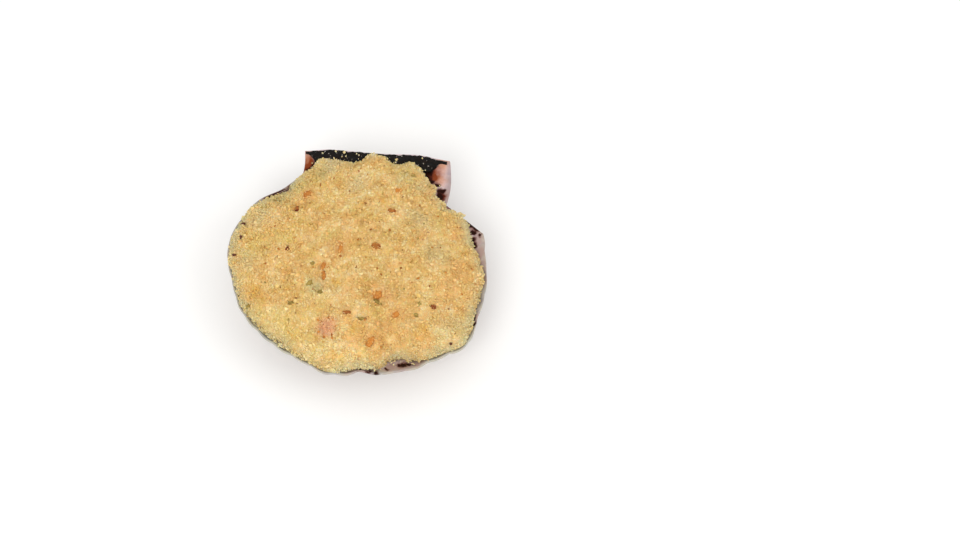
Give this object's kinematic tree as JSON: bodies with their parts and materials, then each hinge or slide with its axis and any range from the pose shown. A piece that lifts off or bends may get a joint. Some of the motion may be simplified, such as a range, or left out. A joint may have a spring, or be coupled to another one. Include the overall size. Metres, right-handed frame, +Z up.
{
  "type": "gratinated scallop in half shell",
  "caption": "Scallop baked in its deep ribbed half shell under a mound of golden breadcrumbs, with a dark hinge ligament between two ears.",
  "frame": {"origin": "middle of the bounding box's base, on the plane the shell rests on", "axes": "+X along the hinge, to the right when seen from the far margin; +Y from the far margin towards the hinge; +Z up, out of the filling"},
  "size_m": [0.0868, 0.0824, 0.0262],
  "materials": {
    "shell": "satin lilac-grey shell with purple-brown rays",
    "ligament": "dark, horny and slightly glossy",
    "crumbs": "matt, grainy golden breadcrumbs with bits of pepper and parsley"
  },
  "bodies": {
    "root": {"shell": "shell", "hinge_ligament": "ligament", "crumb_filling": "crumbs"}
  },
  "joints": []
}
